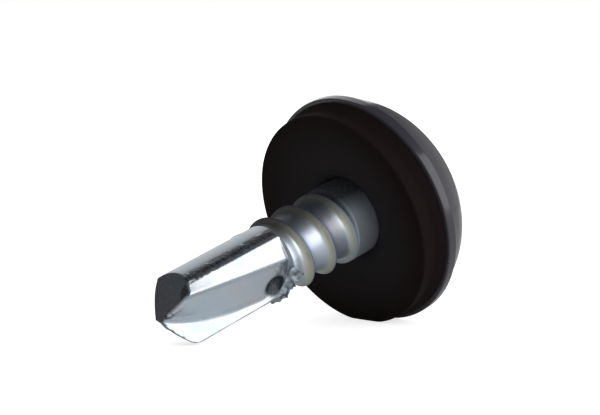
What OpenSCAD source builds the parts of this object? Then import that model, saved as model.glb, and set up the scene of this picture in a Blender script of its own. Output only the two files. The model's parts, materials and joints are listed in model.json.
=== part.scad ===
// Self-drilling tapping screw with a painted dome head and a bonded sealing washer.
// Each piece is drawn on the screw's own axis: the bearing face of the head lies at z = 0,
// the dome rises above it and the shank runs down to the drill point at z = -length.
// At the end the whole screw is laid down as it comes to rest on a table,
// on the rim of its washer and the end of its drill point.

/* [Head] */
// Diameter of the dome head at its bearing face
head_d = 13.5; // [12:0.1:13.8]
// Height of the dome above its bearing face
head_h = 4.25; // [3.8:0.05:5]
// Depth of the middle of the dome's ellipse below the bearing face
head_drop = 0.65; // [0.3:0.05:1]
// Bevel round the foot of the dome
head_bevel = 0.2; // [0.05:0.05:0.3]
// Width of the six-lobe recess over its lobes
recess_d = 4.43; // [3.9:0.01:4.8]
// Depth of the recess below the crown
recess_depth = 2.4; // [1.8:0.1:2.8]

/* [Shank] */
// Length from the bearing face to the point
length = 16.5; // [16:0.1:20]
// Outer diameter of the thread
thread_d = 4.65; // [4.5:0.05:4.7]
// Root diameter of the thread
root_d = 3.65; // [3.4:0.05:3.9]
// Pitch of the thread
pitch = 1.8; // [1.6:0.05:1.9]
// Length of the plain collar below the head
collar_l = 2.65; // [2.5:0.05:3]
// Diameter of the plain collar
collar_d = 4.7; // [4.7:0.02:4.8]

/* [Drill point] */
// Diameter of the drill
drill_d = 4.2; // [4:0.05:4.4]
// Length of the drill from its point to the first turn of the thread
drill_l = 8.2; // [7.7:0.1:8.7]
// Angle between the two cutting lips
point_angle = 110; // [100:1:120]
// Fall of each end facet behind its lip
relief = 0.5; // [0.3:0.05:0.6]
// Thickness of the web between the two flutes
web = 0.4; // [0.3:0.05:0.6]
// Length of each flute from the point to its end wall
flute_l = 7.5; // [7.2:0.1:7.6]
// Turn of the cutting lips from straight down as the screw lies
drill_turn = -23; // [-40:1:0]

/* [Washer] */
// Width of the painted steel disc's rim outside the foot of the head
disc_rim = 0.25; // [0.2:0.05:1.2]
// Thickness of the disc
disc_t = 0.65; // [0.5:0.05:1]
// Radius of the disc's rolled edge
disc_round = 0.18; // [0.05:0.01:0.24]
// Step from the disc's edge in to the seal's edge
seal_inset = 0.45; // [0.3:0.05:0.8]
// Thickness of the rubber seal at its rim
seal_t = 1.7; // [1.6:0.05:2]
// Hollow of the seal's face, from its flat rim to its hole
seal_dish = 0.65; // [0.2:0.05:0.8]
// Gap between the collar and the hole in the disc
disc_gap = 0.15; // [0.1:0.05:0.3]
// How far the rubber gives where the screw rests on it
rest_give = 0.06; // [0.05:0.01:0.1]

/* [Hidden] */
$fn = 96;

// Small overlap by which one solid enters the next before they are joined
joint = 0.1;

// Head: half an ellipse that meets the bearing face at head_d
dome_half_h = head_h + head_drop;
dome_r = head_d / 2 / sqrt(1 - pow(head_drop / dome_half_h, 2));
dome_start = asin((head_drop + head_bevel) / dome_half_h);
dome_steps = 24;
// Six-lobe recess: hollows between the lobes
lobe_hollow_r = 0.208 * recess_d;
recess_waist = 0.716 * recess_d;

// Thread: points across one ridge, each [height from the crest, share of the thread's depth]
ridge = [[-0.62, 0], [-0.42, 0.16], [-0.08, 1], [0.08, 1], [0.28, 0.16], [0.46, 0]];
ridge_steps = 18;
turn_steps = 24;
// The first turn rises out of the drill over this height
ridge_rise = 0.7;
// Height of the first full crest above the drill, straight below as the screw lies
crest_start = 1.81;
thread_z = drill_l - length;
thread_top = -collar_l;

// Drill: each lip rises from the chisel edge to the outer corner
lip_rise = 1 / tan(point_angle / 2);
chisel_z = -length;
// Wall of each flute, from its heel to its foot, as shares of the drill's radius:
// deep and steep at the point, and swung over towards the lip where it nears the thread
point_heel = [-0.26, -0.89];
point_foot = -0.07;
thread_heel = [0.14, -0.82];
thread_foot = 0.8;
// Lean of the flat that knocks off the heel
heel_lean = 10;
// The flute ends in a steep wall with a deep pocket at its lip's side
runout_lean = 15;
pocket_r = 0.45;
pocket_x = 0.36 * drill_d;
pocket_y = web / 2 + 0.5;
pocket_l = 0.5;

// Washer
disc_d = head_d + 2 * disc_rim;
seal_d = disc_d - 2 * seal_inset;
disc_hole_r = collar_d / 2 + disc_gap;
seal_hole_r = collar_d / 2;
bond_r = disc_d / 2 - disc_round;
seal_round = 0.4;
seal_land = 0.5;
seal_lip = 0.3;
seal_front = -disc_t - seal_t;
seal_waist = 0.12;
flare_l = 0.7;

// How the screw lies: on the drill's end and on the rim of the seal or of the disc
foot_r = drill_d / 2;
foot_z = chisel_z + facet_height(foot_r * cos(drill_turn), -foot_r * sin(drill_turn));
rest_tilt = max(lean_on(disc_d / 2, -disc_t, disc_round),
    lean_on(seal_d / 2 - rest_give, seal_front, seal_round));
rest_lift = foot_r * cos(rest_tilt) - foot_z * sin(rest_tilt);
dome_reach = norm([dome_half_h * cos(rest_tilt), dome_r * sin(rest_tilt)]);
front_x = dome_reach - head_drop * cos(rest_tilt);
back_x = chisel_z * cos(rest_tilt);

// Height above the chisel edge of the end facet behind the lip on the +x side
function facet_height(x, y) = lip_rise * x + relief * y;

// Tilt of the screw when it leans on a rounded rim of radius r at height z
function lean_on(r, z, edge) =
    let (dz = z + edge - foot_z, dr = r - edge - foot_r) atan(dr / dz) + asin(edge / norm([dz, dr]));

// Points of an arc about [x, y], from one angle to another
function arc(x, y, r, from, to, steps) =
    [for (i = [0 : steps]) let (a = from + (to - from) * i / steps) [x + r * cos(a), y + r * sin(a)]];

// Solid of the half space above the end facet behind the lip on the +x side
module facet_block() {
    size = 4 * drill_d;
    lean = atan(norm([lip_rise, relief]));
    turn = atan2(relief, lip_rise);
    translate([0, 0, chisel_z]) rotate([0, 0, turn]) rotate([0, -lean, 0])
        translate([-size, -size, 0]) cube([2 * size, 2 * size, 2 * size]);
}

// Outline cut away between the heel's wall and the flat floor, out past the lip
module wall_outline(heel, foot_x) {
    far = 2 * drill_d;
    foot = [foot_x, -web / 2];
    polygon([foot, [far, foot.y], [far, -far], heel + (heel - foot) * 3, heel]);
}

// Outline cut away by the flat on the heel
module heel_outline(heel) {
    far = 2 * drill_d;
    polygon([heel, [heel.x, -far], [heel.x - far, -far], [heel.x - far, heel.y - far * tan(heel_lean)]]);
}

// Joins an outline at the point with one near the thread
module from_point_to_thread() {
    step = 0.01;
    hull() {
        translate([0, 0, chisel_z]) linear_extrude(step) children(0);
        translate([0, 0, chisel_z + flute_l + drill_d / 2]) linear_extrude(step) children(1);
    }
}

// One flute, which gets shallower from the point up to its steep end wall
module flute() {
    run = drill_d;
    r = drill_d / 2;
    difference() {
        union() {
            from_point_to_thread() {
                wall_outline(point_heel * r, point_foot * r);
                wall_outline(thread_heel * r, thread_foot * r);
            }
            from_point_to_thread() {
                heel_outline(point_heel * r);
                heel_outline(thread_heel * r);
            }
        }
        translate([0, 0, chisel_z + flute_l]) rotate([-runout_lean, 0, 0])
            translate([-2 * run, -3 * run, 0]) cube([4 * run, 6 * run, 4 * run]);
    }
    translate([pocket_x, -pocket_y, chisel_z + flute_l - 1])
        cylinder(r = pocket_r, h = 1 + pocket_l, $fn = 32);
}

module drill() {
    intersection() {
        difference() {
            translate([0, 0, chisel_z]) cylinder(d = drill_d, h = drill_l);
            for (side = [0, 180]) rotate([0, 0, side]) flute();
        }
        facet_block();
        rotate([0, 0, 180]) facet_block();
    }
}

// Heights across one turn at which the thread's section is drawn, each step about equal
function stations() =
    let (ends = [for (p = ridge) p[0], ridge[0][0] + pitch])
    [for (i = [0 : len(ends) - 2])
        let (n = ceil((ends[i + 1] - ends[i]) * ridge_steps / pitch))
        for (k = [0 : n - 1]) ends[i] + (ends[i + 1] - ends[i]) * k / n];

// One level section of the thread: a right-hand helix turns its crest as it climbs
function thread_section(z, hs) =
    let (depth = (thread_d - root_d) / 2 * min(1, max(0, z - thread_z) / ridge_rise))
    [for (h = hs)
        let (r = root_d / 2 + depth * lookup(h, ridge),
             a = 360 * (z - h - thread_z - crest_start) / pitch)
        [r * cos(a), r * sin(a), z]];

// Root and ridge together, from inside the drill to inside the collar
module thread() {
    bottom = thread_z - joint;
    top = thread_top + joint;
    rows = ceil((top - bottom) * turn_steps / pitch);
    hs = stations();
    n = len(hs);
    last = rows * n;
    points = [for (i = [0 : rows]) each thread_section(bottom + (top - bottom) * i / rows, hs)];
    sides = [for (i = [0 : rows - 1], k = [0 : n - 1])
        let (a = i * n + k, b = i * n + (k + 1) % n)
        each [[a, b, a + n], [b, b + n, a + n]]];
    ends = [for (k = [0 : n - 1])
        each [[last + n, (k + 1) % n, k], [last + n + 1, last + k, last + (k + 1) % n]]];
    polyhedron(concat(points, [[0, 0, bottom], [0, 0, top]]), concat(sides, ends));
}

module recess() {
    translate([0, 0, head_h - recess_depth]) linear_extrude(recess_depth + 1) difference() {
        circle(d = recess_d);
        for (a = [30 : 60 : 330]) rotate(a)
            translate([recess_waist / 2 + lobe_hollow_r, 0]) circle(r = lobe_hollow_r);
    }
}

module dome() {
    difference() {
        rotate_extrude() polygon(concat(
            [[0, 0], [head_d / 2 - head_bevel, 0]],
            [for (i = [0 : dome_steps])
                let (a = dome_start + (90 - dome_start) * i / dome_steps)
                [dome_r * cos(a), dome_half_h * sin(a) - head_drop]]));
        recess();
    }
}

module shank() {
    rotate([0, 0, drill_turn]) drill();
    thread();
    translate([0, 0, -collar_l]) cylinder(d = collar_d, h = collar_l + joint);
}

module screw() {
    color("#c3c8ce") shank();
    color("#3a3a3e") dome();
}

module washer_disc() {
    edge_r = disc_d / 2 - disc_round;
    color("#3a3a3e") rotate_extrude() polygon(concat(
        [[disc_hole_r, -disc_t]],
        arc(edge_r, disc_round - disc_t, disc_round, 270, 360, 5),
        arc(edge_r, -disc_round, disc_round, 0, 90, 5),
        [[disc_hole_r, 0]]));
}

module sealing_ring() {
    rim_r = seal_d / 2 - seal_round;
    waist_r = seal_d / 2 - seal_waist;
    hollow_z = seal_front + seal_dish;
    color("#1a1819") rotate_extrude() polygon(concat(
        [[seal_hole_r, -disc_t], [seal_hole_r, hollow_z + seal_lip],
         [seal_hole_r + seal_lip, hollow_z], [rim_r - seal_land, seal_front]],
        arc(rim_r, seal_front + seal_round, seal_round, 270, 360, 7),
        [[waist_r, -disc_t - flare_l], [bond_r, -disc_t - joint], [bond_r, -disc_t]]));
}

// Lays a piece down, with the middle of the screw over the origin
module laid() {
    translate([-(front_x + back_x) / 2, 0, rest_lift]) rotate([0, 90 - rest_tilt, 0]) children();
}

// The space above the table, which presses the rubber flat where it rests
module above_table() {
    translate([-2 * length, -2 * length, 0]) cube([4 * length, 4 * length, 2 * length]);
}

laid() screw();
laid() washer_disc();
intersection() { laid() sealing_ring(); above_table(); }
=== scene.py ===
# %% [markdown]
# A self-tapping roofing screw lies on a white table, on the rim of its rubber seal and the
# end of its drill point. On the real object three pieces meet: one forged steel screw with a
# painted dome head, a painted steel disc, and a rubber ring bonded to that disc.
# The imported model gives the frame: where the screw's crown lies and how its axis runs.
# Everything here is drawn in millimetres on the screw's own axis, and laid down by one matrix.

# %% Load the frame
import json
import math
import bmesh
import bpy
import numpy as np
from mathutils import Matrix, Vector, noise


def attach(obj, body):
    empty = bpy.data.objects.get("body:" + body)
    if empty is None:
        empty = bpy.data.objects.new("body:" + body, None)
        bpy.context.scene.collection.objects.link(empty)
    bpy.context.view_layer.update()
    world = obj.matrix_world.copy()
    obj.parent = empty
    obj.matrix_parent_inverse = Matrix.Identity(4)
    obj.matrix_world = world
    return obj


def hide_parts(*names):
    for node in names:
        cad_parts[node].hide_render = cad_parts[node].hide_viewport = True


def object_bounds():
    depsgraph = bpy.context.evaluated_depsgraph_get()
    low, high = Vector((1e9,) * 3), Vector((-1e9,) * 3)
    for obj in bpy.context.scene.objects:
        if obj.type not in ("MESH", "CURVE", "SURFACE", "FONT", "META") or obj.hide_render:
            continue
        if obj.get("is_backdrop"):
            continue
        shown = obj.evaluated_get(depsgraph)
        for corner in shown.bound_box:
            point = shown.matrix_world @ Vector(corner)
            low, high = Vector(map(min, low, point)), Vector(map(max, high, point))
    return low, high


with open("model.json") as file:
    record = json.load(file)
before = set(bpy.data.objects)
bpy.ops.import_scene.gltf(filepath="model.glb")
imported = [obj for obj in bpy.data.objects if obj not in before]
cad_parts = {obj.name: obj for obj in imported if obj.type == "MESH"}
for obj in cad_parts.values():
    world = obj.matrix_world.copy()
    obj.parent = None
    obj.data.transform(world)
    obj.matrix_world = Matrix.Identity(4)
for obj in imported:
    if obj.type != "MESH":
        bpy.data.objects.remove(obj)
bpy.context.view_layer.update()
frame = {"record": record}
mounts = {m["name"]: m for m in frame["record"]["mounts"]}

# %% [markdown]
# The screw's own frame has its z axis along the shank, up to the crown, with z = 0 at the
# bearing face of the head. Its x axis points down at the table, tilted with the screw.
# One matrix turns millimetres in that frame into metres in the model's frame, so each piece
# can be computed on a straight axis and still end up with its object at the origin.

# %% Sizes and the lying frame
MM = 0.001
HEAD_D, HEAD_H = 13.5, 4.25                     # dome, and its crown above the bearing face
DISC_D, DISC_T = 14.0, 0.65
SEAL_D, SEAL_T, SEAL_DISH = 13.1, 1.7, 0.65     # rubber ring, and the hollow of its face
COLLAR_D, COLLAR_L = 4.7, 3.15
THREAD_D, ROOT_D, PITCH = 4.65, 3.65, 1.8
DRILL_D, DRILL_L, LENGTH = 4.2, 8.2, 16.5       # LENGTH runs from the bearing face to the point
SHANK_R = 2.05                                  # shank between the drill and the thread's root
DRILL_TURN = math.radians(-23)                  # heading of the flutes about the axis
WEB = 0.4                                       # steel that the dies leave between the flutes

crown = Vector(mounts["driver_recess"]["pos_m"])
axis = Vector(mounts["driver_recess"]["axis"]).normalized()
side = Vector((0, 1, 0))
down = side.cross(axis)
lay = Matrix((down, side, axis)).transposed().to_4x4() @ Matrix.Scale(MM, 4)
lay.translation = crown - axis * HEAD_H * MM
print("tilt %.2f degrees" % math.degrees(math.asin(axis.z)))

# %% [markdown]
# Pressed and forged parts have no perfectly sharp edge. A profile is therefore drawn as a
# plain polyline first and then softened: it is cut into many short steps, and each point is
# averaged with its neighbours over a given radius. Flat runs stay flat and corners get round.

# %% Helpers for soft outlines
def clamped(value):
    """The value, kept between 0 and 1."""
    return min(1.0, max(0.0, value))


def dense(points, step):
    """The polyline cut into equal short steps."""
    p = np.asarray(points, float)
    d = np.r_[0, np.cumsum(np.linalg.norm(np.diff(p, axis=0), axis=1))]
    n = max(2, int(round(d[-1] / step)))
    t = np.linspace(0, d[-1], n + 1)
    return np.c_[np.interp(t, d, p[:, 0]), np.interp(t, d, p[:, 1])]


def softened(points, radius, closed=False, step=0.01):
    """The polyline with its corners rounded to about this radius."""
    p = dense(points, step)
    reach = int(3 * radius / step)
    away = np.arange(-reach, reach + 1) * step
    kernel = np.exp(-0.5 * (away / (0.62 * radius)) ** 2)
    kernel /= kernel.sum()
    if closed:
        padded = np.r_[p[-reach - 1:-1], p, p[1:reach + 1]]
    else:
        before = 2 * p[0] - p[1:reach + 1][::-1]
        after = 2 * p[-1] - p[-reach - 1:-1][::-1]
        padded = np.r_[before, p, after]
    return np.stack([np.convolve(padded[:, k], kernel, "valid") for k in (0, 1)], 1)


def spread(p, count, crowd=0.35):
    """Points along the path, closer together where it bends."""
    d = np.diff(p, axis=0)
    length = np.linalg.norm(d, axis=1)
    heading = np.unwrap(np.arctan2(d[:, 1], d[:, 0]))
    bend = np.abs(np.r_[0, np.diff(heading)])
    width = max(1, len(p) // 200)
    bend = np.convolve(bend, np.ones(width) / width, "same")
    weight = np.r_[0, np.cumsum(length + crowd * bend)]
    t = np.linspace(0, weight[-1], count)
    return np.c_[np.interp(t, weight, p[:, 0]), np.interp(t, weight, p[:, 1])]


# %% Helpers for lofted skins
def mesh_from(name, verts, faces, attributes=None):
    """A smooth shaded object from millimetre points on the screw's axis, laid down."""
    mesh = bpy.data.meshes.new(name)
    mesh.from_pydata([tuple(v) for v in verts], [], faces)
    mesh.transform(lay)
    for key, values in (attributes or {}).items():
        layer = mesh.attributes.new(key, "FLOAT", "POINT")
        layer.data.foreach_set("value", np.asarray(values, np.float32))
    mesh.polygons.foreach_set("use_smooth", [True] * len(mesh.polygons))
    mesh.update()
    obj = bpy.data.objects.new(name, mesh)
    bpy.context.scene.collection.objects.link(obj)
    return obj


def skin(rows, cols):
    """Quads over closed rings of points, given ring by ring."""
    faces = []
    for i in range(rows - 1):
        for j in range(cols):
            a, b = i * cols + j, i * cols + (j + 1) % cols
            faces.append((a, b, b + cols, a + cols))
    return faces


# %% [markdown]
# The disc is punched and pressed from steel sheet, and the seal is moulded and cured onto it.
# Both are round, so each is a profile turned about the axis. The profile runs once round the
# wall of the ring, and the seal's front is hollow, as pressed rubber is when it isn't loaded.
# A Screw modifier could turn it too, but then its points couldn't crowd where it bends.
# The attribute rim says how far out a point lies, for the rubber's colour.

# %% Turn the washer's two rings
DISC_HOLE, SEAL_HOLE = 2.5, 2.36                # radii: the disc has play, the rubber closes
HOLE_BEVEL = (0.26, 0.2)                        # out and down, at the mouth of the rubber's hole
FACE_R, FACE_FALL = 5.7, 0.05                   # the hollow ends here, then the face falls off
SKIRT = (0.1, 0.75)                             # in and down: the rubber's side, above its edge
SKIRT_TOP = (0.2, 0.06)                         # in and down: where it meets the disc
RIM_FROM, RIM_OVER = 3.2, 3                     # the rim's colour starts here, over this width
DISC_EDGE, SEAL_EDGE = 0.11, 0.16               # how far the corners are softened


def turned(name, profile, radius, around=224, along=110):
    """A closed ring from a closed profile of (radius, height) points."""
    p = spread(softened(profile + profile[:1], radius, closed=True), along + 1)[:-1]
    turn = np.linspace(0, 2 * math.pi, around, endpoint=False)
    verts = [(r * math.cos(t), r * math.sin(t), z) for r, z in p for t in turn]
    faces = skin(len(p), around)
    last = (len(p) - 1) * around
    for j in range(around):
        k = (j + 1) % around
        faces.append((last + j, last + k, k, j))
    rim = [clamped((math.hypot(x, y) - RIM_FROM) / RIM_OVER) for x, y, z in verts]
    return mesh_from(name, verts, faces, {"rim": rim})


def midpoint_start(profile):
    """The same closed profile, started in the middle of its first side."""
    a, b = np.asarray(profile[0]), np.asarray(profile[1])
    return [tuple((a + b) / 2)] + profile[1:] + profile[:1]


disc_r = DISC_D / 2
disc_profile = [(DISC_HOLE, -DISC_T), (disc_r, -DISC_T), (disc_r, 0), (DISC_HOLE, 0)]
disc = turned("washer_disc_painted", midpoint_start(disc_profile), DISC_EDGE)
front = -DISC_T - SEAL_T
seal_profile = [
    (SEAL_HOLE, -DISC_T), (SEAL_HOLE, front + SEAL_DISH + HOLE_BEVEL[1]),
    (SEAL_HOLE + HOLE_BEVEL[0], front + SEAL_DISH), (FACE_R, front),
    (SEAL_D / 2, front + FACE_FALL), (SEAL_D / 2 - SKIRT[0], -DISC_T - SKIRT[1]),
    (disc_r - SKIRT_TOP[0], -DISC_T - SKIRT_TOP[1]), (disc_r - SKIRT_TOP[0], -DISC_T),
][::-1]
seal = turned("sealing_ring_rubber", midpoint_start(seal_profile), SEAL_EDGE)
for vertex in seal.data.vertices:
    vertex.co.z = max(vertex.co.z, 0.0)   # the rubber gives where the screw rests on it
print("disc", len(disc.data.polygons), "seal", len(seal.data.polygons))

# %% [markdown]
# The dome head is struck cold from wire, and the six-lobe recess for the driver is punched
# into its crown. Its skin is a stack of rings: circles at the foot, which change step by step
# into the outline of the recess, go over a small rolled edge, down its wall and across its
# conical floor. This keeps clean quads where a boolean cut would leave slivers.

# %% Outlines of the dome and its recess
DROP = 0.65                                     # the dome is an ellipse centred this far down
HALF_H = HEAD_H + DROP
DOME_R = HEAD_D / 2 / math.sqrt(1 - (DROP / HALF_H) ** 2)
RECESS_D, RECESS_DEPTH, RECESS_CONE = 4.43, 2.4, 0.5
RECESS_EDGE = 0.13                              # radius of the rolled edge at its mouth
SCALLOP, WAIST, TIP = 0.208, 0.358, 0.06        # two shares of RECESS_D, and the tips' radius
DRAFT, MOUTH = 0.02, 0.4                        # the wall leans in, and starts this far down
FOOT_IN, FOOT_Z, FOOT_EDGE = 4.0, 0.3, 0.07     # flat under the dome, and its softened edge


def lobe_radius(turn):
    """Distance from the axis to the recess's wall in one direction."""
    hollow_r, centre = SCALLOP * RECESS_D, (WAIST + SCALLOP) * RECESS_D
    off = (turn + math.pi / 6) % (math.pi / 3) - math.pi / 6
    inside = hollow_r ** 2 - (centre * math.sin(off)) ** 2
    if inside <= 0:
        return RECESS_D / 2
    far, near = RECESS_D / 2, centre * math.cos(off) - math.sqrt(inside)
    h = clamped(0.5 + 0.5 * (near - far) / TIP)
    return near * (1 - h) + far * h - TIP * h * (1 - h)


def dome_z(r):
    """Height of the dome at a distance from the axis."""
    return HALF_H * math.sqrt(max(0.0, 1 - (r / DOME_R) ** 2)) - DROP


print("dome radius %.2f, recess %.2f to %.2f" % (DOME_R, lobe_radius(math.pi / 6), lobe_radius(0)))

# %% Draw the dome head with its recess
def draw_dome(around=288, dome_rings=48, edge_rings=6):
    turns = [2 * math.pi * j / around for j in range(around)]
    lobes = [lobe_radius(t) for t in turns]
    foot_top = (DOME_R * math.cos(math.asin((FOOT_Z + DROP) / HALF_H)), FOOT_Z)
    foot = [(FOOT_IN, 0), (HEAD_D / 2, 0), (HEAD_D / 2 - 0.02, 0.2), foot_top]
    foot = softened(foot, FOOT_EDGE)
    rings = [[(r, z)] * around for r, z in spread(foot, 16)]
    start_r = rings[-1][0][0]
    for k in range(1, dome_rings + 1):
        t = 1 - (1 - k / dome_rings) ** 1.35
        reach = [start_r + (lobe + RECESS_EDGE - start_r) * t for lobe in lobes]
        rings.append([(r, dome_z(r)) for r in reach])
    for k in range(1, edge_rings + 1):
        a = math.pi / 2 * k / edge_rings
        over, under = RECESS_EDGE * math.sin(a), RECESS_EDGE * (1 - math.cos(a))
        rings.append([(lobe + RECESS_EDGE - over, dome_z(lobe + RECESS_EDGE) - under)
                      for lobe in lobes])
    for depth in np.linspace(MOUTH, RECESS_DEPTH, 9):
        rings.append([(lobe - DRAFT * depth, HEAD_H - depth) for lobe in lobes])
    for c in (0.97, 0.9, 0.7, 0.5, 0.3, 0.12):
        floor = HEAD_H - RECESS_DEPTH - RECESS_CONE * (1 - c)
        rings.append([(lobe * c, floor) for lobe in lobes])
    verts = [(r * math.cos(t), r * math.sin(t), z)
             for ring in rings for (r, z), t in zip(ring, turns)]
    verts.append((0, 0, HEAD_H - RECESS_DEPTH - RECESS_CONE))
    faces = skin(len(rings), around)
    last = (len(rings) - 1) * around
    faces += [(last + j, last + (j + 1) % around, len(verts) - 1) for j in range(around)]
    faces.append(tuple(range(around))[::-1])
    return mesh_from("dome_head_painted", verts, faces)


dome = draw_dome()
print("dome", len(dome.data.polygons))

# %% [markdown]
# The drill point is forged between two dies, which press two flutes into the wire. Its skin
# is a stack of outlines: two lands, each with a flat on its heel, a heel wall, a hollow corner
# and a floor out to the cutting lip. From the point to the thread the wall swings over towards
# the lip, so the flute gets shallower, and each outline is drawn anew at its own height.
# Cutting the flutes with booleans would leave slivers along the lips and no place for the wear.
# A share of 0 is the point and 1 is the thread. A turn is counted from the flute's direction.

# %% Outlines of the drill point
R = DRILL_D / 2
POINT_Z, THREAD_Z = -LENGTH, -8.14              # chisel edge, and the step to the thread
LAND_END, LAND_SHRINK, LAND_DRIFT = 37, -9, -2  # turn of the land's end, and how that moves
HEEL_R, HEEL_TURN = (1.95, -0.17), (17, -31)    # each at the point, and its change upwards
FOOT_X, FOOT_BEND = (0.07, -1.86), 2.6          # foot of the flute's wall, which swings over
STEPS = 40                                      # outlines kept from the point to the thread


def polar(radius, degrees):
    """A point by its distance from the axis and its turn from the flute's own direction."""
    a = math.radians(90 - degrees)
    return np.array((radius * math.cos(a), radius * math.sin(a)))


def corner(before, at, after, reach, count):
    """A rounded corner: a short curve that touches both of its sides."""
    a = at + (before - at) * min(0.49, reach / np.linalg.norm(before - at))
    b = at + (after - at) * min(0.49, reach / np.linalg.norm(after - at))
    t = np.linspace(0, 1, count)[:, None]
    return (1 - t) ** 2 * a + 2 * t * (1 - t) * at + t ** 2 * b


def half_outline(share):
    """From one lip round its land, over the heel and along the floor, at this share."""
    lip = math.degrees(math.asin(WEB / 2 / R))
    land_end = LAND_END + LAND_SHRINK * min(1, share * 2.2) + LAND_DRIFT * share
    swing = (1 - math.exp(-share * FOOT_BEND)) / (1 - math.exp(-FOOT_BEND))
    land = np.array([polar(R, t) for t in np.linspace(90 + lip - 0.8, land_end + 4, 62)])
    edge = polar(R, land_end)
    heel = polar(HEEL_R[0] + HEEL_R[1] * share, HEEL_TURN[0] + HEEL_TURN[1] * share)
    foot = np.array((FOOT_X[0] + FOOT_X[1] * swing, WEB / 2))
    end = np.array((-R * math.cos(math.radians(lip)), WEB / 2))
    corners = [corner(land[-1], edge, heel, 0.12, 8), corner(edge, heel, foot, 0.16, 12),
               corner(heel, foot, end, 0.35 + 0.3 * share, 18), corner(foot, end, -land[0], 0.05, 5)]
    points = [land]
    for bend, fill in zip(corners, (0, 12, 26, 22)):
        if fill:
            t = np.linspace(0, 1, fill + 2)[1:-1, None]
            points.append(points[-1][-1] * (1 - t) + bend[0] * t)
        points.append(bend)
    return np.concatenate(points)


def whole_outline(share):
    """Both halves: the second flute is the first one turned half round."""
    half = half_outline(share)
    return np.concatenate([half, -half])


OUTLINES = [whole_outline(k / STEPS) for k in range(STEPS + 1)]
COLS = len(OUTLINES[0])
print("drill outline", COLS, "points")

# %% [markdown]
# The drill's wear and its forging marks are real relief. Where the dies met, the heel has a
# rough band. A deep pocket lies near the end of the flute, where the die tore the metal, and
# the ridge of the thread starts on the land as a low swelling. The attribute tells the zinc
# where it is torn or worn, and it also carries painted shade: inside the pocket, on the lands
# and on the flute's floor, so that the flute's wall stays brighter.

# %% Relief of the drill point
POINT_ANGLE, RELIEF = 110, 0.5                  # between the lips, and the fall behind each lip
LIP_RISE = 1 / math.tan(math.radians(POINT_ANGLE / 2))
CORNER_REACH, CORNER_WEAR = 0.36, 0.34          # the worn outer corner of one lip
BAND_TURN, BAND_HALF = 37, 10                   # the rough band, in degrees
GRIT, GRIT_H = 0.13, 0.06                       # fine lumps in the band, and their height
DENT, DENT_H = 0.4, 0.02                        # broad ones, which also lie this much deeper
# Painted shade: on the lands, a little all over, and more on the flute's floor and outer edge
LAND_SHADE, BASE_SHADE, FLOOR_RIM_SHADE = 0.47, 0.02, 0.25
SWELL_TURN, SWELL_HALF = -128, 36               # degrees: middle of the swelling, and its reach
SWELL_Z, SWELL_LEAD, SWELL_W, SWELL_H = -8.85, 0.005, 0.24, 0.14
POCKET_AT, POCKET_SIZE, POCKET_DEPTH = (1.56, -0.75, -8.98), (0.45, 0.85, 0.62), 0.42
LIP_LINE, LIP_SMUDGE = 0.1, 0.26                # widths of the dark wear beside a lip


def grain(x, y, z, size):
    """Smooth noise between about -1 and 1, with lumps of this size."""
    return noise.noise(Vector((x / size, y / size, z / size)))


def facet(x, y):
    """Height of the end above the chisel edge, with one lip's outer corner worn round."""
    height = max(LIP_RISE * x + RELIEF * y, -LIP_RISE * x - RELIEF * y)
    over = clamped((math.hypot(x, y) - (R - CORNER_REACH)) / CORNER_REACH)
    worn = math.exp(-((math.atan2(y, x) + 0.05) / 0.3) ** 2)
    return height + CORNER_WEAR * worn * (1 - math.sqrt(1 - over ** 2))


def flute_turn(x, y):
    """Turn from the nearer flute's direction, between -90 and 90 degrees."""
    return (math.degrees(math.atan2(x, y)) + 90) % 180 - 90


def band(turn):
    """Share of roughness on the heel: 1 in the middle of the band where the dies met."""
    return max(0.0, 1 - ((turn - BAND_TURN) / BAND_HALF) ** 2)


def relief(x, y, z):
    """Radial relief in mm, and how dark the zinc is there: torn or worn, and painted shade."""
    r = math.hypot(x, y)
    turn = flute_turn(x, y)
    on_land = clamped((r - (R - 0.12)) / 0.08)
    wear_and_shade = band(turn) * on_land
    lumps = GRIT_H * grain(x, y, z * 0.8, GRIT) - DENT_H + DENT_H * grain(x, y, z * 0.5, DENT)
    push = wear_and_shade * lumps
    around = math.degrees(math.atan2(x, -y))
    climb = (z - (SWELL_Z + SWELL_LEAD * around)) / SWELL_W
    aside = (around - SWELL_TURN) / SWELL_HALF
    push += SWELL_H * math.exp(-aside ** 2 - climb ** 2) * on_land
    x1, y1, z1 = [(p - at) / size for p, at, size in zip((x, y, z), POCKET_AT, POCKET_SIZE)]
    pocket = math.exp(-(x1 * x1 + y1 * y1 + z1 * z1) ** 1.5)
    push -= POCKET_DEPTH * pocket
    # Painted shade: the lands and the flute's floor are darker than its wall, and all of it a little
    darkened = LAND_SHADE * on_land * clamped((abs(turn) - 40) / 10)
    floor_and_rim = clamped(max((r - 1.6) / 0.2, (WEB / 2 + 0.25 - abs(y)) / 0.2))
    darkened = max(darkened, BASE_SHADE + (FLOOR_RIM_SHADE + 0.12 * grain(x, y, z * 0.5, 0.6)) * floor_and_rim)
    # The pocket is darkened inside: painted shade in the recess
    return push, max(wear_and_shade, min(1, 3.5 * pocket), darkened)


def lip_wear(x, y, z, low):
    """Dark smudges where the lips are blunted: a thin line along the land, more at the point."""
    near = (abs(y) - WEB / 2) / LIP_LINE if abs(x) > R - 0.08 else 9
    line = math.exp(-near * near) * (0.7 + 0.5 * grain(x, y, z * 0.4, 0.5))
    fade = math.exp(-((z - low) / LIP_SMUDGE) ** 2)
    smudge = fade * (0.45 + 1.6 * grain(x, y, z, 0.24)) if y * x < 0 else 0
    return clamped(max(line, smudge))


print("lips rise %.2f mm per mm, pocket %.2f mm deep" % (LIP_RISE, POCKET_DEPTH))

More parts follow.
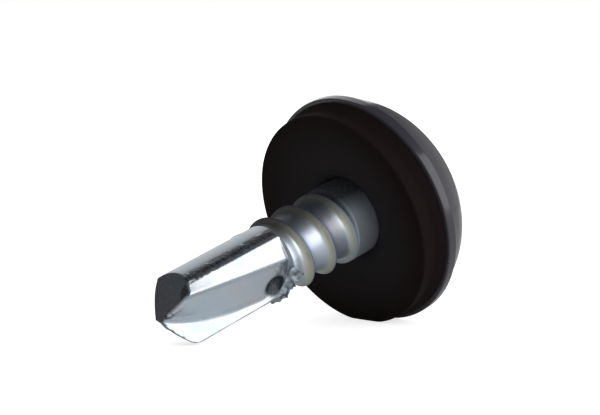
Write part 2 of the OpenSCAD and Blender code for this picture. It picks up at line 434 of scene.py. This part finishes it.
# %% Draw the drill point
# The flutes' end wall goes by shares of the way out to the shank, and the lid inside it by
# shares of the shank's radius, each with its height above THREAD_Z
WALL_RINGS = ((0.08, 0.012), (0.4, 0.035), (0.75, 0.055), (0.95, 0.075), (1, 0.1))
LID_RINGS = ((0.985, 0.13), (0.96, 0.15), (0.85, 0.155), (0.7, 0.16))


def drill_ring(t):
    """Points and roughness of one ring, at a share t of the way up from the end facets."""
    row, tag = [], []
    for j in range(COLS):
        x, y = OUTLINES[0][j]
        low = facet(x, y) - LENGTH
        z = low + (THREAD_Z - low) * t
        share = clamped((z - POINT_Z) / (THREAD_Z - POINT_Z)) * STEPS
        k = min(STEPS - 1, int(share))
        x, y = OUTLINES[k][j] * (k + 1 - share) + OUTLINES[k + 1][j] * (share - k)
        push, wear_and_shade = relief(x, y, z)
        grow = 1 + push / max(0.5, math.hypot(x, y)) * min(1, t * 30)
        inset = 1 - 0.012 * math.exp(-(t / 0.003) ** 2)
        row.append((x * grow * inset, y * grow * inset, z))
        tag.append(max(wear_and_shade, lip_wear(x, y, z, low)))
    return row, tag


def facet_ring(c):
    """The point's outline shrunk by c on the ground end, darkened all over and most on the heel's
    side.
    """
    row, tag = [], []
    for x, y in OUTLINES[0]:
        heel_side = max(0.0, 1 - (1 - c) * math.hypot(x, y) / 0.5)
        shaped = band(flute_turn(x, y) + 14) * heel_side
        bump = 0.02 * grain(x * c, y * c, 0, 0.18) * shaped
        row.append((x * c, y * c, facet(x * c, y * c) - LENGTH - bump + 0.05 * shaped ** 2))
        tag.append(min(1, 0.82 + shaped * 1.4))
    return row, tag


def at_heading(points):
    """The points turned about the axis to the flutes' heading."""
    c, s = math.cos(DRILL_TURN), math.sin(DRILL_TURN)
    return [(x * c - y * s, x * s + y * c, z) for x, y, z in points]


def draw_drill():
    rings = [facet_ring(c) for c in np.linspace(0.975, 0.03, 34)][::-1]
    rings += [drill_ring(t) for t in np.r_[0, 0.004, 0.01, np.linspace(0.018, 1, 120)]]
    top_row = rings[-1][0]
    # The end wall of the flutes, up to the round shank that carries the thread
    for share, rise in WALL_RINGS:
        row = []
        for x, y, z in top_row:
            r = math.hypot(x, y)
            grow = 1 + share * (SHANK_R - r) / r
            row.append((x * grow, y * grow, THREAD_Z + rise))
        rings.append((row, [0.3] * COLS))
    for shrink, rise in LID_RINGS:
        lid = [(x * shrink, y * shrink, THREAD_Z + rise) for x, y, z in row]
        rings.append((lid, [0] * COLS))
    faces = skin(len(rings), COLS)
    last = (len(rings) - 1) * COLS
    faces += [tuple(range(COLS))[::-1], tuple(range(last, last + COLS))]
    points = at_heading([point for row, tag in rings for point in row])
    wear_and_shade = [value for row, tag in rings for value in tag]
    return mesh_from("drill_point", points, faces, {"wear_and_shade": wear_and_shade})


drill = draw_drill()
print("drill", len(drill.data.polygons))

# %% [markdown]
# Forging leaves a torn edge at the end of the flute: a ragged flake stands up beside the pocket
# and hangs out past the lip. It is a thin shell between two rails, bent and torn by noise,
# because no two burrs are alike, and the photograph only shows where this one starts and ends.

# %% Draw the burr at the flute's end
BURR_FOOT = [(0.95, 1.75, -5.9), (1.2, 1.35, -6.0), (1.4, 0.95, -6.1), (1.6, 0.6, -6.2),
             (1.75, 0.2, -6.25), (1.85, -0.2, -6.3), (1.95, -0.55, -6.4)]
BURR_EDGE = [(1.2, 1.95, -5.8), (1.62, 2.15, -5.65), (1.62, 1.75, -5.8), (1.78, 1.35, -5.95),
             (2.1, 0.72, -6.05), (2.42, 0.1, -6.2), (2.42, -0.5, -6.3), (2.1, -0.9, -6.5)]
BURR_SHIFT = 2.35                               # both rails are this far nearer to the point
BURR_THICK, BURR_TORN = 0.075, 0.25             # half thickness at the foot, and the ragged edge


def rail(points, count):
    """Evenly spaced points along a polyline in space."""
    p = np.asarray(points, float)
    d = np.r_[0, np.cumsum(np.linalg.norm(np.diff(p, axis=0), axis=1))]
    t = np.linspace(0, d[-1], count)
    return np.stack([np.interp(t, d, p[:, k]) for k in range(3)], 1)


def burr_sides(along, across):
    """The flake's two faces, point by point, and how rough each point is."""
    foot, edge = rail(BURR_FOOT, along), rail(BURR_EDGE, along)
    sides, shade_and_patches = [], []
    for face in (1, -1):
        for i in range(along):
            ends = min(1, 6 * i / along + 0.15, 6 * (along - 1 - i) / along + 0.15)
            for j in range(across):
                t = j / (across - 1)
                u, v, z = foot[i] * (1 - t) + edge[i] * t
                torn = 1 + BURR_TORN * t * grain(u, v, z, 0.22)
                z += 0.16 * t * grain(u, v, z + 5, 0.3) + 0.1 * math.sin(3 * t) - BURR_SHIFT
                u += 0.1 * t * grain(u, v, z + 9, 0.26)
                v += 0.1 * t * grain(u + 7, v, z, 0.26)
                thick = BURR_THICK * (1 - 0.8 * t) + 0.03 * grain(u, v, z, 0.12)
                # Darker across the middle of the flake and lighter at its foot and torn edge: painted
                # shade and highlight, with random patches
                shade_and_patches.append(clamped(0.5 * math.sin(math.pi * t) + 0.9 * grain(u, v, z, 0.3)))
                sides.append((u * torn ** 0.4, -v * torn ** 0.4, z + face * abs(thick) * ends))
    return sides, shade_and_patches


def draw_burr(along=46, across=12):
    sides, shade_and_patches = burr_sides(along, across)
    faces, n = [], along * across
    for i in range(along - 1):
        for j in range(across - 1):
            a = i * across + j
            faces.append((a, a + 1, a + across + 1, a + across))
            faces.append((n + a, n + a + across, n + a + across + 1, n + a + 1))
    ring = [i * across for i in range(along)]
    ring += [(along - 1) * across + j for j in range(1, across)]
    ring += [i * across + across - 1 for i in range(along - 2, -1, -1)]
    ring += list(range(across - 2, 0, -1))
    for a, b in zip(ring, ring[1:] + ring[:1]):
        faces.append((a, b, n + b, n + a))
    burr = mesh_from("forging_burr", at_heading(sides), faces, {"wear_and_shade": shade_and_patches})
    whole = bmesh.new()
    whole.from_mesh(burr.data)
    bmesh.ops.recalc_face_normals(whole, faces=whole.faces)
    whole.to_mesh(burr.data)
    whole.free()
    return burr


burr = draw_burr()
print("burr", len(burr.data.polygons))

# %% [markdown]
# The thread is rolled: flat dies press its ridge up out of the wire, so the skin is one
# surface, and its shape follows a rule. Geometry Nodes bend a flat grid round the axis and
# push each point out by a curve that gives the height of the ridge across one pitch. The
# same could be swept along a helix, but then the ridge would only sit on the shank.
# The tree starts with its sizes as named inputs.

# %% Start the thread's node tree
def add(tree, kind, inputs=(), **settings):
    """Adds a node with its settings, and links or sets its inputs, by number or by name."""
    node = tree.nodes.new(kind)
    for key, value in settings.items():
        setattr(node, key, value)
    for socket, source in inputs.items() if isinstance(inputs, dict) else enumerate(inputs):
        if isinstance(source, bpy.types.Node):
            source = source.outputs[0]
        if isinstance(source, bpy.types.NodeSocket):
            tree.links.new(source, node.inputs[socket])
        else:
            node.inputs[socket].default_value = source
    return node


MATH, RANGE, SMOOTH = "ShaderNodeMath", "ShaderNodeMapRange", "SMOOTHSTEP"
DRILL_LAP, HEAD_LAP = 0.06, 0.02                # the open ends hide inside the drill and head
CREST_START = 1.81                              # first crest above the end of the drill
sizes = {"Bottom": THREAD_Z + DRILL_LAP, "Top": -HEAD_LAP, "Root radius": ROOT_D / 2,
         "Ridge height": (THREAD_D - ROOT_D) / 2, "Pitch": PITCH,
         "Crest start": DRILL_L - LENGTH + CREST_START, "Rise": 0.7,
         "Collar radius": COLLAR_D / 2, "Collar length": COLLAR_L,
         "Start radius": SHANK_R, "Start length": 1.3}
rolled = bpy.data.node_groups.new("Rolled thread", "GeometryNodeTree")
face = rolled.interface
face.new_socket("Geometry", in_out="INPUT", socket_type="NodeSocketGeometry")
for name, value in sizes.items():
    socket = face.new_socket(name, in_out="INPUT", socket_type="NodeSocketFloat")
    socket.default_value = value
material_input = face.new_socket("Material", in_out="INPUT", socket_type="NodeSocketMaterial")
face.new_socket("Geometry", in_out="OUTPUT", socket_type="NodeSocketGeometry")
size = add(rolled, "NodeGroupInput").outputs
print("thread sizes", sizes)

# %% [markdown]
# Across the grid a point's share goes once round the screw, and along the grid z climbs from
# the drill to the head. The distance from the crest comes from the height less the turn, which
# makes the helix. Its fraction, the phase, is 0.5 on the crest and 0 or 1 in the valley.

# %% Find each point's place on the helix
grid = add(rolled, "GeometryNodeMeshGrid", (1.0, 1.0, 257, 321))
place = add(rolled, "ShaderNodeSeparateXYZ", [add(rolled, "GeometryNodeInputPosition")]).outputs
share = add(rolled, MATH, (place[0], 0.5), operation="ADD")
along = add(rolled, MATH, (place[1], 0.5), operation="ADD")
climb = add(rolled, MATH, (size["Top"], size["Bottom"]), operation="SUBTRACT")
z = add(rolled, MATH, (along, climb, size["Bottom"]), operation="MULTIPLY_ADD")
above = add(rolled, MATH, (z, size["Crest start"]), operation="SUBTRACT")
pitches = add(rolled, MATH, (above, size["Pitch"]), operation="DIVIDE")
behind = add(rolled, MATH, (pitches, share), operation="SUBTRACT")
centred = add(rolled, MATH, (behind, 0.5), operation="ADD")
phase = add(rolled, MATH, [centred], operation="FRACT")
print("helix laid on", grid.inputs[2].default_value, "by", grid.inputs[3].default_value, "points")

# %% [markdown]
# A rolled ridge leans: its upper flank is steep, and the lower one runs out in a long foot.
# It rises out of the drill over a part of its first turn. The shank is thicker where it leaves
# the drill and thins to the root of the thread, and the plain collar takes over near the head.
# A smooth maximum joins them with the small hollow radius that the dies leave.

# %% Work out the radius at each point
RIDGE = [(0.0, 0.09), (0.14, 0.15), (0.28, 0.25), (0.39, 0.48), (0.475, 0.93), (0.5, 1.0),
         (0.525, 0.95), (0.59, 0.48), (0.67, 0.12), (0.78, 0.03), (1.0, 0.09)]
THREAD_HOLLOW, COLLAR_HOLLOW = 0.12, 0.08       # how softly one radius goes over into another
COLLAR_FADE = (0.3, 0.05)                       # the collar starts below its end, and is full above
curve = add(rolled, "ShaderNodeFloatCurve", {1: phase})
points = curve.mapping.curves[0].points
points[0].location, points[1].location = RIDGE[0], RIDGE[-1]
for x, y in RIDGE[1:-1]:
    points.new(x, y)
for point in points:
    point.handle_type = "AUTO_CLAMPED"
curve.mapping.update()
root_r, bottom = size["Root radius"], size["Bottom"]
low = add(rolled, MATH, (bottom, 0.2), operation="SUBTRACT")
high = add(rolled, MATH, (low, size["Rise"]), operation="ADD")
rise = add(rolled, RANGE, (z, low, high), interpolation_type=SMOOTH)
risen = add(rolled, MATH, (curve, rise), operation="MULTIPLY")
ridge = add(rolled, MATH, (risen, size["Ridge height"]), operation="MULTIPLY")
crest = add(rolled, MATH, (root_r, ridge), operation="ADD")
high = add(rolled, MATH, (bottom, size["Start length"]), operation="ADD")
shank = add(rolled, RANGE, (z, bottom, high, size["Start radius"], root_r), interpolation_type=SMOOTH)
threaded = add(rolled, MATH, (shank, crest, THREAD_HOLLOW), operation="SMOOTH_MAX")
collar_z = add(rolled, MATH, (size["Collar length"], -1.0), operation="MULTIPLY")
low = add(rolled, MATH, (collar_z, COLLAR_FADE[0]), operation="SUBTRACT")
high = add(rolled, MATH, (collar_z, COLLAR_FADE[1]), operation="ADD")
collar = add(rolled, RANGE, (z, low, high, root_r, size["Collar radius"]), interpolation_type=SMOOTH)
radius = add(rolled, MATH, (threaded, collar, COLLAR_HOLLOW), operation="SMOOTH_MAX")
print("ridge drawn with", len(points), "points")

# %% [markdown]
# The zinc on the thread isn't the same all over. The passivation film is thicker on the crest,
# where a dark band is painted shade. The collar is plain, dull and darker, and the side that
# lies uppermost is darkened as painted shade. The tree stores these as attributes for the
# material: the phase, the matt share, the darkening and the film. It does so on the
# flat grid, because a field is worked out afresh where it is used, and the points move next.

# %% Store the attributes and bend the grid
COLLAR_STEP = 0.52                              # the collar's radius over the root's
TOP_SIDE = 0.47                                 # share of the turn that lies uppermost
UPPER_SHADE = (0.08, 0.23, 0.85, 0.0)               # from here to there beside it, painted shade to none
step = add(rolled, MATH, (collar, root_r), operation="SUBTRACT")
bare = add(rolled, MATH, (step, COLLAR_STEP), operation="DIVIDE", use_clamp=True)
off_top = add(rolled, MATH, (share, TOP_SIDE), operation="SUBTRACT")
off_top = add(rolled, MATH, [off_top], operation="ABSOLUTE")
upper_shade = add(rolled, RANGE, (off_top, *UPPER_SHADE), interpolation_type=SMOOTH)
# Darker on the collar, and painted shade on the side that lies uppermost
wear_and_shade = add(rolled, MATH, (bare, 0.4, upper_shade), operation="MULTIPLY_ADD", use_clamp=True)
matt = add(rolled, MATH, (bare, 0.5, 0.5), operation="MULTIPLY_ADD")
film_and_shade = add(rolled, MATH, (rise, bare), operation="SUBTRACT", use_clamp=True)
flat = grid
for name, value in (("phase", phase), ("matt", matt), ("wear_and_shade", wear_and_shade), ("film_and_shade", film_and_shade)):
    flat = add(rolled, "GeometryNodeStoreNamedAttribute", {0: flat, 2: name, 3: value},
               data_type="FLOAT", domain="POINT")
angle = add(rolled, MATH, (share, 2 * math.pi), operation="MULTIPLY")
across = [add(rolled, MATH, (radius, add(rolled, MATH, [angle], operation=way)), operation="MULTIPLY")
          for way in ("COSINE", "SINE")]
joined = add(rolled, "ShaderNodeCombineXYZ", (*across, z))
bent = add(rolled, "GeometryNodeSetPosition", {0: flat, 2: joined})
closed = add(rolled, "GeometryNodeMergeByDistance", {0: bent, 2: 0.0005})
smooth = add(rolled, "GeometryNodeSetShadeSmooth", [closed])
real = add(rolled, "GeometryNodeRealizeInstances", [smooth])
finish = add(rolled, "GeometryNodeSetMaterial", {0: real, 2: size["Material"]})
add(rolled, "NodeGroupOutput", [finish])
print("thread tree", len(rolled.nodes), "nodes")

# %% [markdown]
# The steel is bright zinc plated: a thin bright layer of zinc from an electric bath, dipped to
# give it a clear, pale blue passivation that turns straw and lilac where it is thicker. The
# eye sees a soft mirror with cool and warm drifts. Zinc is a metal, so metallic starts from 1,
# and 0.86 is matched to the object, because the film scatters a little. Roughness starts from
# 0.2 for a bright plating. The rolled thread and the collar are more matt.

# %% Zinc plating
DRIFT = 0.55                                    # per mm: patches of colour about 1.8 mm wide
SPECKS, HAMMERED = 11, 7                        # per mm: dull specks 0.09 mm, skin 0.14 mm wide
WORN_AND_SHADED_ZINC = "#43474d"                           # where the skin is torn or ground, and where shade is painted
# Film tints across the pitch; the dark stops at 0.5 and 0.56, on the crest, are painted shade
FILM_AND_CREST_SHADE = ((0.22, "#f6f7f9"), (0.33, "#f7f4e8"), (0.41, "#f2e9ca"), (0.46, "#dad6c8"),
        (0.5, "#9ba5b3"), (0.56, "#b0bac8"), (0.74, "#e0def0"))


def colour(code):
    """An sRGB hex value as linear RGBA."""
    srgb = [int(code[k:k + 2], 16) / 255 for k in (1, 3, 5)]
    return [c / 12.92 if c <= 0.04045 else ((c + 0.055) / 1.055) ** 2.4 for c in srgb] + [1.0]


def new_material(name):
    """A material, its node tree and its shader."""
    material = bpy.data.materials.new(name)
    material.use_nodes = True
    tree = material.node_tree
    return material, tree, tree.nodes["Principled BSDF"]


def zinc_plated_steel():
    material, tree, shader = new_material("Bright zinc plated steel")
    wear_and_shade, matt, film_and_shade, phase = [add(tree, "ShaderNodeAttribute", attribute_name=name).outputs["Fac"]
                                for name in ("wear_and_shade", "matt", "film_and_shade", "phase")]
    place = add(tree, "ShaderNodeTexCoord").outputs["Object"]
    in_mm = add(tree, "ShaderNodeMapping", {"Vector": place, "Scale": (1000, 1000, 1000)})
    drift = add(tree, "ShaderNodeTexNoise", {"Vector": in_mm, "Scale": DRIFT, "Detail": 3})
    cool = add(tree, "ShaderNodeValToRGB", [drift.outputs["Fac"]])
    stops = cool.color_ramp.elements
    stops[0].position, stops[0].color = 0.35, colour("#d2e0ec")
    stops[1].position, stops[1].color = 0.65, colour("#dedfe6")
    stops.new(0.5).color = colour("#d8e3ec")
    # Across the thread's pitch the film is thicker on the ridge than in the valley; its dark band on
    # the crest is painted shade
    film_and_crest_tones = add(tree, "ShaderNodeValToRGB", [phase])
    stops = film_and_crest_tones.color_ramp.elements
    stops[0].position, stops[0].color = 0.0, colour("#fbf9ff")
    stops[1].position, stops[1].color = 1.0, colour("#fbf9ff")
    for position, code in FILM_AND_CREST_SHADE:
        stops.new(position).color = colour(code)
    tint = add(tree, "ShaderNodeMix", {0: film_and_shade, 6: cool, 7: film_and_crest_tones},
               data_type="RGBA", blend_type="MULTIPLY")
    specks = add(tree, "ShaderNodeTexNoise", {"Vector": in_mm, "Scale": SPECKS, "Detail": 4})
    patchy = add(tree, RANGE, (specks.outputs["Fac"], 0.42, 0.58, 0.9, 1.0))
    # Torn and worn places, and the painted shade that the attribute carries, go over to dark zinc
    worn = add(tree, MATH, (wear_and_shade, patchy), operation="MULTIPLY")
    darkened = add(tree, "ShaderNodeMix", {0: worn, 6: tint.outputs[2], 7: colour(WORN_AND_SHADED_ZINC)},
               data_type="RGBA")
    # Torn and rolled places are more matt, and the skin is very finely hammered all over
    hammered = add(tree, "ShaderNodeTexNoise", {"Vector": in_mm, "Scale": HAMMERED, "Detail": 5})
    bright = add(tree, RANGE, {0: hammered.outputs["Fac"], 3: 0.16, 4: 0.28})
    softer = add(tree, MATH, (matt, 0.34, bright), operation="MULTIPLY_ADD")
    dusty = add(tree, MATH, (wear_and_shade, 0.22, softer), operation="MULTIPLY_ADD")
    bump = add(tree, "ShaderNodeBump",
               {"Height": hammered.outputs["Fac"], "Strength": 0.2, "Distance": 0.00002})
    for socket, source in (("Base Color", darkened.outputs[2]), ("Roughness", dusty.outputs[0]),
                           ("Normal", bump.outputs[0])):
        tree.links.new(source, shader.inputs[socket])
    shader.inputs["Metallic"].default_value = 0.86
    return material


ZINC = zinc_plated_steel()
print("zinc", len(ZINC.node_tree.nodes), "nodes")

# %% [markdown]
# The head and the disc are powder coated: a dry slate grey powder is sprayed on and melted to a
# smooth plastic skin. The eye sees a grey gloss with slightly soft reflections, from the faint
# orange peel that the melting leaves. Roughness starts from 0.3 for such a coat and is matched
# down to 0.15, and the IOR stays at a plastic's 1.5.

# %% Powder coat
PEEL = 900                                      # per metre: dimples about 1.1 mm wide


def powder_coat():
    material, tree, shader = new_material("Slate grey powder coat")
    place = add(tree, "ShaderNodeTexCoord").outputs["Object"]
    peel = add(tree, "ShaderNodeTexNoise", {"Vector": place, "Scale": PEEL, "Detail": 2})
    bump = add(tree, "ShaderNodeBump",
               {"Height": peel.outputs["Fac"], "Strength": 0.15, "Distance": 0.00005})
    tree.links.new(bump.outputs[0], shader.inputs["Normal"])
    shader.inputs["Base Color"].default_value = colour("#3b3b42")
    shader.inputs["Roughness"].default_value = 0.15
    return material


PAINT = powder_coat()
print("paint", len(PAINT.node_tree.nodes), "nodes")

# %% [markdown]
# The seal is EPDM, a black rubber that stands weather, filled with soot and moulded. The eye
# sees a deep, matt black with hardly a gleam, a little warmer at the rim, where the colour is
# also darker: painted shade that keeps the lit outer edge as dark as the face. Roughness
# 0.8 is typical, and the specular level is low because the soot swallows the light.

# %% Rubber
CLOUDS = 260                                    # per metre: soft clouds about 4 mm wide


def epdm_rubber():
    material, tree, shader = new_material("Black EPDM rubber")
    place = add(tree, "ShaderNodeTexCoord").outputs["Object"]
    cloud = add(tree, "ShaderNodeTexNoise", {"Vector": place, "Scale": CLOUDS})
    ramp = add(tree, "ShaderNodeValToRGB", [cloud.outputs["Fac"]])
    stops = ramp.color_ramp.elements
    stops[0].position, stops[0].color = 0.3, colour("#2b292b")
    stops[1].position, stops[1].color = 0.75, colour("#2d2a2b")
    rim = add(tree, "ShaderNodeAttribute", attribute_name="rim").outputs["Fac"]
    # Warmer towards the rim, and darker there as painted shade on the lit outer edge
    warm_and_shaded = add(tree, "ShaderNodeMix", {0: rim, 6: ramp, 7: colour("#1d1615")}, data_type="RGBA")
    tree.links.new(warm_and_shaded.outputs[2], shader.inputs["Base Color"])
    shader.inputs["Roughness"].default_value = 0.8
    shader.inputs["Specular IOR Level"].default_value = 0.05
    return material


RUBBER = epdm_rubber()
for obj, material in ((disc, PAINT), (dome, PAINT), (seal, RUBBER), (drill, ZINC), (burr, ZINC)):
    obj.data.materials.clear()
    obj.data.materials.append(material)
print("rubber", len(RUBBER.node_tree.nodes), "nodes")

# %% [markdown]
# The thread is finished: the tree runs once on an empty holder, and its result becomes a plain
# mesh. Its two open ends, inside the drill and the head, are closed, and it is laid down.

# %% Turn the node tree's result into a plain mesh
holder = bpy.data.objects.new("thread_grid", bpy.data.meshes.new("thread_grid"))
bpy.context.scene.collection.objects.link(holder)
modifier = holder.modifiers.new("Rolled thread", "NODES")
modifier.node_group = rolled
modifier[material_input.identifier] = ZINC
bpy.context.view_layer.update()
result = holder.evaluated_get(bpy.context.evaluated_depsgraph_get())
thread_mesh = bpy.data.meshes.new_from_object(result)
bpy.data.objects.remove(holder)
closing = bmesh.new()
closing.from_mesh(thread_mesh)
bmesh.ops.holes_fill(closing, edges=[e for e in closing.edges if e.is_boundary])
bmesh.ops.recalc_face_normals(closing, faces=closing.faces)
closing.to_mesh(thread_mesh)
closing.free()
thread_mesh.transform(lay)
thread = bpy.data.objects.new("rolled_thread", thread_mesh)
bpy.context.scene.collection.objects.link(thread)
print("thread", len(thread.data.polygons))

# %% Put every piece on the screw's body
for obj, node, slot in ((dome, "screw", "painted_steel"), (drill, "screw", "zinc_plated_steel"),
                        (burr, "screw", "zinc_plated_steel"), (thread, "screw", "zinc_plated_steel"),
                        (disc, "washer_disc", "painted_steel"), (seal, "sealing_ring", "epdm_rubber")):
    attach(obj, "root")
    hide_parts(node)
    print(obj.name, "replaces", node)

# %% [markdown]
# The photograph was taken a hand's width away, low over the table, with a long lens. The place
# and the heading of the camera come from matching the rings of the washer and the ends of the
# shank.

# %% Camera
CAMERA_AT = (-0.06919575, -0.07583902, 0.01521311)
CAMERA_HEADING = (0.67305524, 0.73529801, -0.07958325)
LENS, SENSOR, NEAR, FAR = 108, 36, 0.005, 10    # the first two in mm, the others in metres

camera_data = bpy.data.cameras.new("Camera")
camera_data.lens, camera_data.sensor_width = LENS, SENSOR
camera_data.clip_start, camera_data.clip_end = NEAR, FAR
camera = bpy.data.objects.new("Camera", camera_data)
bpy.context.scene.collection.objects.link(camera)
camera.location = CAMERA_AT
camera.rotation_mode = "QUATERNION"
camera.rotation_quaternion = Vector(CAMERA_HEADING).to_track_quat("-Z", "Y")
bpy.context.scene.camera = camera
bpy.context.scene.view_settings.view_transform = "Standard"
print("camera %.1f mm above the table" % (CAMERA_AT[2] / MM))

# %% [markdown]
# The table is a plain white sheet. The camera sees it a little brighter than it is lit, through
# Light Path, so it is white up to the screw's shadow and no extra light falls on the screw.

# %% Table
TABLE_HALF, TABLE_GLOW = 3, 0.72                # half its side in metres, and what the glow adds
corners = [(x * TABLE_HALF, y * TABLE_HALF, 0) for x, y in ((-1, -1), (1, -1), (1, 1), (-1, 1))]
floor_mesh = bpy.data.meshes.new("table")
floor_mesh.from_pydata(corners, [], [(0, 1, 2, 3)])
table = bpy.data.objects.new("table", floor_mesh)
bpy.context.scene.collection.objects.link(table)
table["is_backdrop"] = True
white, tree, shader = new_material("White table")
shader.inputs["Base Color"].default_value = colour("#f2f2f2")
shader.inputs["Roughness"].default_value = 0.6
seen = add(tree, "ShaderNodeLightPath").outputs
grey = (TABLE_GLOW, TABLE_GLOW, TABLE_GLOW, 1)
glow = add(tree, "ShaderNodeEmission", (grey, seen["Is Camera Ray"]))
both = add(tree, "ShaderNodeAddShader", (shader, glow))
tree.links.new(both.outputs[0], tree.nodes["Material Output"].inputs[0])
table.data.materials.append(white)
print("table", tuple(table.dimensions))

# %% [markdown]
# Metal shows what stands around it, so the studio's walls are drawn in the world. A mirrored ray
# sees a wall that is brightest to the right of the camera, under a dark ceiling. Light that
# isn't mirrored comes evenly from all sides, and the camera sees plain white.

# %% Studio walls
WHITE, WORLD_LIGHT = (1, 1, 1, 1), 0.45
WALL_AZIMUTH = math.radians(-40)
# Each line gives where a change starts and ends, and the level at the start and at the end
CEILING = (0.45, 0.92, 1.0, 0.08)               # from this height on it gets dark
WALLS = (0.1, 0.9, 0.14, 0.6)                   # from beside the bright wall to its middle
world = bpy.data.worlds.new("Studio")
bpy.context.scene.world = world
world.use_nodes = True
tree = world.node_tree
even = tree.nodes["Background"]
even.inputs[0].default_value, even.inputs[1].default_value = WHITE, WORLD_LIGHT
way = add(tree, "ShaderNodeTexCoord").outputs["Generated"]
upwards = add(tree, "ShaderNodeSeparateXYZ", [way]).outputs[2]
ceiling = add(tree, RANGE, (upwards, *CEILING), interpolation_type=SMOOTH)
wall_way = (math.cos(WALL_AZIMUTH), math.sin(WALL_AZIMUTH), 0)
facing = add(tree, "ShaderNodeVectorMath", (way, wall_way), operation="DOT_PRODUCT").outputs["Value"]
walls = add(tree, RANGE, (facing, *WALLS), interpolation_type=SMOOTH)
level = add(tree, MATH, (ceiling, walls), operation="MULTIPLY")
mirrored = add(tree, "ShaderNodeBackground", (WHITE, level))
plain = add(tree, "ShaderNodeBackground", (WHITE, 1.0))
seen = add(tree, "ShaderNodeLightPath").outputs
clear = add(tree, MATH, (seen["Is Glossy Ray"], seen["Is Transmission Ray"]), operation="MAXIMUM")
lit = add(tree, "ShaderNodeMixShader", (clear, even, mirrored))
mix = add(tree, "ShaderNodeMixShader", (seen["Is Camera Ray"], lit, plain))
tree.links.new(mix.outputs[0], tree.nodes["World Output"].inputs[0])
print("world", len(tree.nodes), "nodes")

# %% [markdown]
# Two soft boxes light the screw: a broad one low at the right gives the bright stripe along the
# drill, and a narrow one behind it draws the rim of the disc and the dome.

# %% Lamps
def softbox(name, azimuth, elevation, distance, size, power):
    """An area lamp that faces the screw from one direction, in degrees and metres."""
    lamp = bpy.data.lights.new(name, "AREA")
    lamp.shape, lamp.size, lamp.size_y = "RECTANGLE", size[0], size[1]
    lamp.energy = power
    obj = bpy.data.objects.new(name, lamp)
    bpy.context.scene.collection.objects.link(obj)
    a, e = math.radians(azimuth), math.radians(elevation)
    way = Vector((math.cos(a) * math.cos(e), math.sin(a) * math.cos(e), math.sin(e)))
    obj.location = way * distance
    obj.rotation_mode = "QUATERNION"
    obj.rotation_quaternion = (-way).to_track_quat("-Z", "Y")
    print(name, power, "W")


softbox("Key softbox", -70, 22, 0.5, (0.62, 0.42), 1.4)
softbox("Back softbox", 54, 32, 0.5, (0.24, 0.5), 0.36)

# %% Write the sizes and finish
low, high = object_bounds()
print("size", [round(h - l, 5) for l, h in zip(low, high)])
